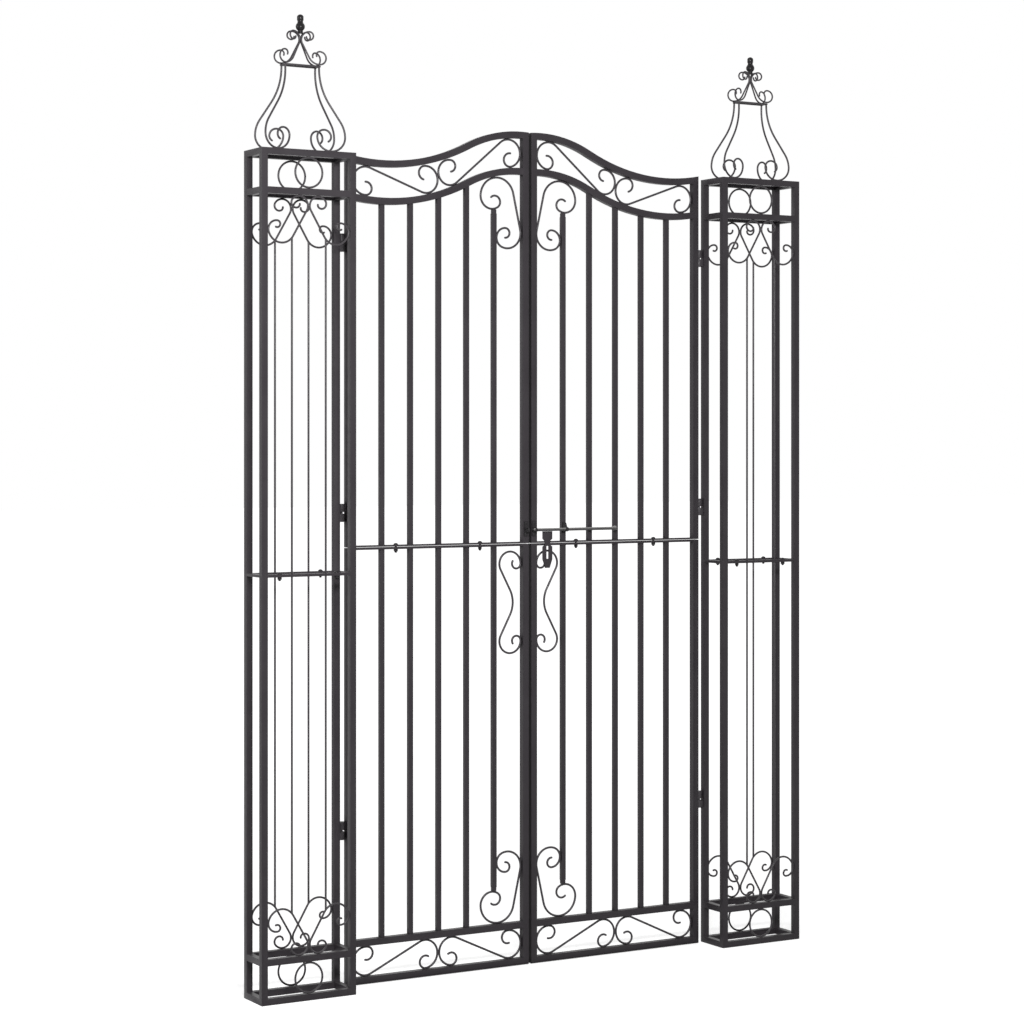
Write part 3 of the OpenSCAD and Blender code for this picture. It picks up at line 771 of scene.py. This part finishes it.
def waveZ(x):
    if x < wave["dipX"] + wave["dipR"] * math.sin(wave["turn"]):
        return wave["dipC"].y - math.sqrt(wave["dipR"] ** 2 - (x - wave["dipX"]) ** 2)
    return wave["humpC"].y + math.sqrt(wave["humpR"] ** 2 - (x - wave["humpX"]) ** 2)


def waveRoom(x, humped):
    # the largest ring that fits between the two wavy rails at x
    z = waveZ(x) - leaf["drop"] / 2
    half = leaf["tube"] / 2
    centre, radius = (wave["humpC"], wave["humpR"]) if humped else (wave["dipC"], wave["dipR"])
    near, far = (Vector((x, z)) - centre).length, (Vector((x, z + leaf["drop"])) - centre).length
    if humped:
        return min(radius - half - near, far - radius - half)
    return min(near - radius - half, radius - half - far)


def topScrolls():
    # from post to meeting stile: middle, first sweep, radius and sweep of the tail
    curls = {
        "postSide": (leaf["inL"] + 29, 202, 12.5, 180),
        "middleLeft": (leaf["middle"] - 27.3, 207, 13.2, 158),
        "middleRight": (leaf["middle"] + 24.5, 228, 11.2, 163),
        "stileSide": (leaf["inR"] - 30, 206, 13.2, 200),
    }

    def curl(name, humped=False):
        x, turn, tail, tailTurn = curls[name]
        middle = (x, waveZ(x) - leaf["drop"] / 2)
        return middle, [(waveRoom(x, humped) - leaf["seat"], turn), (tail, tailTurn)]

    (a, arcsA), (b, arcsB) = curl("postSide"), curl("middleLeft")
    (c, arcsC), (d, arcsD) = curl("middleRight"), curl("stileSide", humped=True)
    outer = scrollPoints(a, -1, arcsA, b, 1, arcsB)
    inner = scrollPoints(c, 1, arcsC, d, -1, arcsD)
    return [flat3(outer, leaf["y"]), flat3(inner, leaf["y"])]


def baseScrolls():
    base = {"outerTurn": 216, "outerTail": (12.4, 185), "innerTurn": 202, "innerTail": (11.9, 216)}
    r = leaf["baseR"]
    z = leaf["lift"] + leaf["tube"] + (leaf["ringPitch"] - leaf["tube"]) / 2
    outer = [(r, base["outerTurn"]), base["outerTail"]]
    inner = [(r, base["innerTurn"]), base["innerTail"]]
    ends = (leaf["inL"] + leaf["baseIn"], z), (leaf["middle"] - leaf["baseIn"], z)
    one = scrollPoints(ends[0], 1, outer, ends[1], -1, inner)
    paths = [flat3(one, leaf["y"])]
    return paths + mirrored(paths, x=leaf["middle"])


def largeScrolls():
    big = {
        "lowR": 30.6,
        "lowZ": 1430.75,
        "lowTurn": 124,
        "roomTurn": 160,
        "lowTail": (9.5, 180),
        "bigR": 37.1,
        "bigIn": 54.8,  # from the meeting stile to the big curl's middle
        "bigZ": 1499.85,
        "bigTurn": 164.5,
        "inner": (24.9, 125),
        "tail": (12.0, 190),
    }
    lowC = (leaf["inR"] - leaf["seat"] - big["lowR"], big["lowZ"])
    bigC = (leaf["inR"] - big["bigIn"], big["bigZ"])
    t = headingOf(lowC, big["lowR"], 1, bigC, big["bigR"], 1)
    # the low curl's second arc just reaches the short bar
    endA = math.radians(t - 90 - big["lowTurn"])
    barEdge = leaf["shortX"] + leaf["bar"] / 2
    room = lowC[0] + big["lowR"] * math.cos(endA) - barEdge - leaf["seat"]
    roomR = room / (1 + math.cos(endA))
    low = [(big["lowR"], big["lowTurn"]), (roomR, big["roomTurn"]), big["lowTail"]]
    high = [(big["bigR"], big["bigTurn"]), big["inner"], big["tail"]]
    paths = [flat3(scrollPoints(lowC, 1, low, bigC, 1, high), leaf["y"])]
    return paths + mirrored(paths, z=leaf["halfZ"])


def lyreScroll():
    lyre = {
        "z": 709.5,
        "half": 75.3,  # from its middle up to the curl's
        "curlR": 23.8,
        "tail": (9.6, 213),
        "bellyR": 51.2,
        "bellyIn": 70.9,
    }
    topC = (leaf["inR"] - leaf["seat"] - lyre["curlR"], lyre["z"] + lyre["half"])
    bellyC = (leaf["inR"] - lyre["bellyIn"], lyre["z"])
    t = headingOf(bellyC, lyre["bellyR"], 1, topC, lyre["curlR"], -1)
    belly = arcPoints(bellyC, lyre["bellyR"], 0, t - 90)
    curl = curlPoints(topC, t + 90, -1, [(lyre["curlR"], t + 90), lyre["tail"]])
    upper = flat3(belly + curl, leaf["y"])
    lower = mirrored([upper], z=lyre["z"])[0]
    return [lower[::-1] + upper[1:]]


def bendLeafScrolls():
    sets = (
        ("TopScrolls", "top_scrolls", topScrolls),
        ("BaseScrolls", "base_scrolls", baseScrolls),
        ("LargeScrolls", "large_scrolls", largeScrolls),
        ("LyreScroll", "lyre_scroll", lyreScroll),
    )
    for side in sides:
        for title, node, paths in sets:
            rodPiece(side + title, paths(), leaf["rod"], side, f"{side}_leaf", node)


bendLeafScrolls()
print("leaf scrolls are bent")


def easeHinges():
    for side in sides:
        halves = (("Post", "post_hinges", "posts"), ("Leaf", "leaf_hinges", f"{side}_leaf"))
        for title, node, body in halves:
            mesh = roundedCopy(f"{side}_{node}", edgeEase["hinge"])
            asPiece(f"{side}{title}Hinges", mesh, "hinge", body, (f"{side}_{node}",))


easeHinges()
print("hinges are eased")


# joint bolts and weld beads: one small shape set down on many spots

def setDownTree():
    tree = bpy.data.node_groups.new("setDown", "GeometryNodeTree")
    addSocket(tree, "Spots", "Geometry")
    addSocket(tree, "Shape", "Object")
    addSocket(tree, "Least", "Float", 1.0)
    addSocket(tree, "Most", "Float", 1.0)
    addSocket(tree, "Turn", "Float", 0.0)
    addSocket(tree, "Seed", "Int", 5)
    addSocket(tree, "Finish", "Material")
    addSocket(tree, "Set", "Geometry", way="OUTPUT")
    start = addNode(tree, "NodeGroupInput")
    end = addNode(tree, "NodeGroupOutput")
    spots = addNode(tree, "GeometryNodeMeshToPoints")
    info = addNode(tree, "GeometryNodeObjectInfo")
    size = addNode(tree, "FunctionNodeRandomValue", data_type="FLOAT")
    turn = addNode(tree, "FunctionNodeRandomValue", data_type="FLOAT")
    spin = addNode(tree, "ShaderNodeCombineXYZ")
    place = addNode(tree, "GeometryNodeInstanceOnPoints")
    real = addNode(tree, "GeometryNodeRealizeInstances")
    finish = addNode(tree, "GeometryNodeSetMaterial")
    link = tree.links.new
    link(start.outputs["Spots"], spots.inputs["Mesh"])
    link(start.outputs["Shape"], info.inputs["Object"])
    link(start.outputs["Least"], size.inputs[2])
    link(start.outputs["Most"], size.inputs[3])
    link(start.outputs["Turn"], turn.inputs[3])
    link(start.outputs["Seed"], size.inputs["Seed"])
    link(start.outputs["Seed"], turn.inputs["Seed"])
    link(turn.outputs[1], spin.inputs["Z"])
    link(spots.outputs["Points"], place.inputs["Points"])
    link(info.outputs["Geometry"], place.inputs["Instance"])
    link(spin.outputs["Vector"], place.inputs["Rotation"])
    link(size.outputs[1], place.inputs["Scale"])
    link(place.outputs["Instances"], real.inputs["Geometry"])
    link(real.outputs["Geometry"], finish.inputs["Geometry"])
    link(start.outputs["Finish"], finish.inputs["Material"])
    link(finish.outputs["Geometry"], end.inputs["Set"])
    return tree


setDown = setDownTree()


def setOut(name, spots, shape, look, least=1.0, most=1.0, turn=0.0, seed=5):
    # spots are in millimetres in the row frame
    mesh = bpy.data.meshes.new(name)
    mesh.from_pydata([Vector(p) * mm for p in spots], [], [])
    holder = bpy.data.objects.new(name, mesh)
    scene.collection.objects.link(holder)
    step = holder.modifiers.new("setDown", "NODES")
    step.node_group = setDown
    inputs = {"Shape": shape, "Least": least, "Most": most, "Turn": turn, "Seed": seed}
    inputs["Finish"] = finishes[look]
    for key, value in inputs.items():
        step[socketOf(setDown, key)] = value
    return settled(holder)


def inRowSpot(side, x, y, z):
    return (gate["middleX"] + (x if side == "left" else -x), y, z)


def prism(name, across, z0, z1, facets=6, ease=0.5):
    # a nut: flat sides, eased at both faces
    radius = across / 2 / math.cos(math.pi / facets)
    low, high = z0 + ease * 0.6, z1 - ease * 0.6
    profile = [(radius - ease, z0), (radius, low), (radius, high), (radius - ease, z1)]
    return turned(name, profile, around=facets)


def jointBolt(low, high):
    # domed head above the flats, washer, nut and thread end below, heights from the joint
    b = {
        "head": 4.5,
        "headTall": 3.4,
        "washer": 4.0,
        "washerTall": 0.9,
        "nut": 6.9,
        "nutTall": 3.7,
        "shank": 2.45,
        "thread": 0.3,  # depth of its ridges
        "threadPitch": 0.4,
        "reach": 7.0,
    }
    nutTop = low - b["washerTall"]
    turns = [math.pi / 2 * k / 8 for k in range(8)]
    dome = [(b["head"] * math.cos(a), high + b["headTall"] * math.sin(a)) for a in turns]
    rim = [(b["head"] - 0.3, high + 0.02), (b["head"], high + 0.3)]
    crest = [(0.3, high + b["headTall"])]
    head = turned("boltHead", rim + [(r, z) for r, z in dome if z > high + 0.35] + crest, around=24)
    edge = b["washer"] - 0.2
    disc = [(edge, nutTop), (b["washer"], low - 0.75), (b["washer"], low - 0.2), (edge, low - 0.05)]
    washer = turned("boltWasher", disc, around=24)
    nut = prism("boltNut", b["nut"], nutTop - b["nutTall"], nutTop)
    ridges = []
    z = low - b["reach"] + 0.5
    while z < nutTop - b["nutTall"] - 0.1:
        ridges += [(b["shank"] - b["thread"], z), (b["shank"], z + b["threadPitch"] / 2)]
        z += b["threadPitch"]
    core = b["shank"] - 0.2
    point = [(b["shank"] - 0.7, low - b["reach"])]
    shank = turned("boltEnd", point + ridges + [(core, low - 0.5), (core, high + 0.1)], around=20)
    shape = bpy.data.objects.new("jointBolt", merged("jointBolt", [head, washer, nut, shank]))
    scene.collection.objects.link(shape)
    return shape


def boltJoints():
    postBolt = {"across": 57.5, "y": 33.5, "z": 779.0, "flat": 2.6}
    leafBolt = {"across": 1.5 * leaf["pitch"], "z": 823.2, "low": -4.0, "high": 4.2}
    postShape = jointBolt(-postBolt["flat"], postBolt["flat"])
    leafShape = jointBolt(leafBolt["low"], leafBolt["high"])
    for side in sides:
        spots = []
        for y in (-postBolt["y"], postBolt["y"]):
            for dx in (-postBolt["across"], postBolt["across"]):
                spots.append(inRowSpot(side, postX + dx, y, postBolt["z"]))
        mesh = setOut(f"{side}PostJointBolts", spots, postShape, "fittings", turn=1.0)
        node = f"{side}_post_joint_bolts"
        asPiece(mesh.name, mesh, "fittings", "posts", (node,))
        xs = (leaf["middle"] - leafBolt["across"], leaf["middle"] + leafBolt["across"])
        spots = [inRowSpot(side, x, leaf["y"], leafBolt["z"]) for x in xs]
        mesh = setOut(f"{side}LeafJointBolts", spots, leafShape, "fittings", turn=1.0, seed=9)
        node = f"{side}_leaf_joint_bolts"
        asPiece(mesh.name, mesh, "fittings", f"{side}_leaf", (node,))
    for shape in (postShape, leafShape):
        bpy.data.objects.remove(shape)


boltJoints()
print("joint bolts are in")


def weldBead():
    # a small flattened drop, one millimetre in radius
    ball = [(math.sin(math.pi * k / 8), -0.8 * math.cos(math.pi * k / 8)) for k in range(1, 8)]
    shape = bpy.data.objects.new("weldBead", turned("weldBead", ball, around=12))
    scene.collection.objects.link(shape)
    return shape


def spireWeldSpots(side):
    # where the spire's feet stand on the post
    s = spire
    reach = s["footR"] * math.cos(math.radians(s["turn"]))
    slip = s["footR"] * math.sin(math.radians(s["turn"]))
    z = gate["postTall"] + 0.5
    spots = []
    for dx in (-1, 1):
        for dy in (-1, 1):
            x, y = postX + dx * (s["bulgeX"] - reach), dy * (s["bulgeY"] - slip)
            spots.append(inRowSpot(side, x, y, z))
    return spots


def baseWeldSpots(side):
    # where the base scrolls touch the rails above and below them
    sunk = 0.4
    low = leaf["lift"] + leaf["tube"] + sunk
    high = leaf["lift"] + leaf["ringPitch"] - sunk
    inset, middle = leaf["baseIn"], leaf["middle"]
    ringX = (leaf["inL"] + inset, middle - inset, middle + inset, leaf["inR"] - inset)
    return [inRowSpot(side, x, leaf["y"], z) for x in ringX for z in (low, high)]


def layWelds():
    spireWeld = {"least": 3.0, "most": 3.8, "turn": 3.0, "seed": 3}
    baseWeld = {"least": 2.2, "most": 2.9, "turn": 3.0, "seed": 4}
    bead = weldBead()
    for side in sides:
        mesh = setOut(side + "SpireWelds", spireWeldSpots(side), bead, "weld", **spireWeld)
        asPiece(mesh.name, mesh, "weld", "posts")
        mesh = setOut(side + "BaseWelds", baseWeldSpots(side), bead, "weld", **baseWeld)
        asPiece(mesh.name, mesh, "weld", side + "_leaf")
    bpy.data.objects.remove(bead)


layWelds()
print("welds are laid")


# slide bolt, drawn back at rest, with its guides and catch

boltRun = {"rod": 6.0, "x0": 3.0, "long": 186.0, "knob": 5.0, "y": 19.0, "z": 850.5, "nose": 1.2}


def buildSlideBolt():
    # a round rod with an eased nose and a turned knob
    s = boltRun
    half, end = s["rod"] / 2, s["long"]
    profile = [(half - s["nose"], 0.0), (half - 0.35, 0.45), (half, s["nose"])]
    profile += [(half, end - 2.4), (half + 0.6, end - 1.9)]
    for k in range(1, 16):
        a = math.pi * (0.18 + 0.82 * k / 15.5)
        profile.append((max(0.2, s["knob"] * math.sin(a)), end + 3 - s["knob"] * math.cos(a)))
    mesh = turned("slideBolt", profile, around=28)
    nose = Matrix.Translation(((gate["middleX"] + s["x0"]) * mm, s["y"] * mm, s["z"] * mm))
    mesh.transform(nose @ Matrix.Rotation(math.pi / 2, 4, "Y"))
    asPiece("slideBolt", mesh, "bolt_steel", "bolt", ("slide_bolt",))


buildSlideBolt()


def faceOut(mesh):
    work = bmesh.new()
    work.from_mesh(mesh)
    bmesh.ops.recalc_face_normals(work, faces=work.faces)
    work.to_mesh(mesh)
    work.free()
    return mesh


def drawnAcross(name, outline, x0, x1):
    # a closed outline in Y and Z, drawn along X
    verts = [(x * mm, y * mm, z * mm) for x in (x0, x1) for y, z in outline]
    n = len(outline)
    faces = [(k, (k + 1) % n, n + (k + 1) % n, n + k) for k in range(n)]
    faces += [tuple(range(n))[::-1], tuple(range(n, 2 * n))]
    mesh = bpy.data.meshes.new(name)
    mesh.from_pydata(verts, [], faces)
    return faceOut(mesh)


def ringOutline(radius, turns):
    y, z = boltRun["y"], boltRun["z"]
    return [(y + radius * math.cos(a), z + radius * math.sin(a)) for a in turns]


def guideOutline(g, face):
    # from the tongue's top once round the outside of the strap and back to the face, and the bore
    z, tongue, rise, drop = boltRun["z"], g["tongue"], g["rise"], g["drop"]
    top, low = math.radians(75), math.radians(-62)
    round30 = [top + (2 * math.pi - top + low) * k / 30 for k in range(31)]
    outside = [(face, z + rise), (face - tongue * 0.72, z + rise - 1.2)]
    outside.append((face - tongue, z + rise * 0.62))
    outside += ringOutline(g["strap"] / 2, round30)
    outside += [(face - tongue * 0.8, z - drop * 0.72), (face, z - drop)]
    hole = ringOutline(boltRun["rod"] / 2 + g["play"], [2 * math.pi * k / 32 for k in range(32)])
    return outside, hole


def boltGuide(name, x, face, g):
    # a strap round the bolt with a tongue up the tube's face
    outside, hole = guideOutline(g, face)
    x0, x1 = x - g["wide"] / 2, x + g["wide"] / 2
    holder = bpy.data.objects.new(name, drawnAcross(name, outside, x0, x1))
    cutter = bpy.data.objects.new(name + "Bore", drawnAcross(name + "Bore", hole, x0 - 2, x1 + 2))
    for item in (holder, cutter):
        scene.collection.objects.link(item)
    drill = holder.modifiers.new("bore", "BOOLEAN")
    drill.operation = "DIFFERENCE"
    drill.solver = "EXACT"
    drill.object = cutter
    ease = holder.modifiers.new("ease", "BEVEL")
    ease.width = g["ease"] * mm
    ease.segments = 2
    ease.limit_method = "ANGLE"
    ease.angle_limit = math.radians(50)
    mesh = settled(holder)
    bpy.data.objects.remove(cutter)
    return mesh


def screwHead(name, x, y, z, g):
    # a low round head on the tube's face, its axis along Y
    r = g["screw"] / 2
    tall = r * 0.45
    turns = [math.pi / 2 * k / 6 for k in range(6)]
    dome = [(r * math.cos(a), tall * math.sin(a)) for a in turns] + [(0.15, tall)]
    mesh = turned(name, [(r - 0.1, -0.6)] + dome, around=20)
    place = Matrix.Translation((x * mm, y * mm, z * mm))
    mesh.transform(place @ Matrix.Rotation(math.pi / 2, 4, "X"))
    return mesh


def guidePlate(name, x, face, g):
    # a thin plate flat on the tube, with a screw above and below the strap
    z, front = boltRun["z"], face - g["thick"]
    top, low = z + g["rise"], z - g["drop"]
    outline = [(face, top), (front, top), (front, low), (face, low)]
    plate = drawnAcross(name, outline, x - g["plate"] / 2, x + g["plate"] / 2)
    screwZ = (z + (g["rise"] - g["screwIn"]), z + (g["screwIn"] - g["drop"]))
    return [plate] + [screwHead(name + "Screw", x, front, at, g) for at in screwZ]


def fitGuides():
    strap = {
        "wide": 4.0,
        "strap": 8.8,
        "play": 0.5,
        "rise": 6.0,
        "tongue": 2.0,
        "drop": 6.0,
        "ease": 0.3,
    }
    lug = dict(strap, wide=6.0, rise=14.0, tongue=6.5, drop=6.5, ease=0.5)
    plate = {"plate": 8.4, "thick": 1.5, "rise": 16.5, "drop": 12.0, "screw": 4.6, "screwIn": 3.4}
    guideShift = 1.2  # the right leaf's strap stands this much off its stile's middle
    stileX, stileFace = leaf["right"] - leaf["tube"] / 2, leaf["y"] - leaf["tube"] / 2
    barX, barFace = gate["middleX"] - leaf["shortX"], leaf["y"] - leaf["bar"] / 2
    fittings = (
        ("right", "boltGuides", "bolt_guides", gate["middleX"] - stileX - guideShift),
        ("left", "boltCatch", "bolt_catch", gate["middleX"] + stileX),
    )
    for side, name, node, x in fittings:
        parts = [boltGuide(name + "Strap", x, stileFace, strap)]
        parts += guidePlate(name + "Plate", x, stileFace, plate)
        if side == "right":
            parts.append(boltGuide(name + "Lug", barX, barFace, lug))
        mesh = smoothed(merged(name, parts), sharpFrom=35)
        asPiece(name, mesh, "fittings", side + "_leaf", (node,))


fitGuides()
print("slide bolt and its guides are in")


def stub(name, x, y, z0, z1, g):
    # a square end standing on Z with its edges eased
    size = (g["across"] * mm, g["across"] * mm, (z1 - z0) * mm)
    place = (x * mm, y * mm, (z0 + z1) / 2 * mm)
    rounding = {"offset": g["ease"] * mm, "segments": 2, "profile": 0.5, "affect": "EDGES"}
    shape = bmesh.new()
    bmesh.ops.create_cube(shape, size=1.0)
    bmesh.ops.scale(shape, vec=size, verts=shape.verts)
    bmesh.ops.translate(shape, vec=place, verts=shape.verts)
    bmesh.ops.bevel(shape, geom=shape.edges[:], **rounding)
    mesh = bpy.data.meshes.new(name)
    shape.to_mesh(mesh)
    shape.free()
    return mesh


def tipShortBars():
    # the short bars run on to meet the large scrolls
    tip = {"across": 8.6, "from": 1465.0, "to": 1474.6, "ease": 1.1}
    turnOver = 2 * leaf["halfZ"]
    spans = ((tip["from"], tip["to"]), (turnOver - tip["to"], turnOver - tip["from"]))
    for side in sides:
        x = gate["middleX"] + (leaf["shortX"] if side == "left" else -leaf["shortX"])
        ends = [stub("barTip", x, leaf["y"], z0, z1, tip) for z0, z1 in spans]
        mesh = smoothed(merged(side + "BarTips", ends))
        asPiece(mesh.name, mesh, "frame_tube", side + "_leaf")


tipShortBars()
print("short bars are tipped")
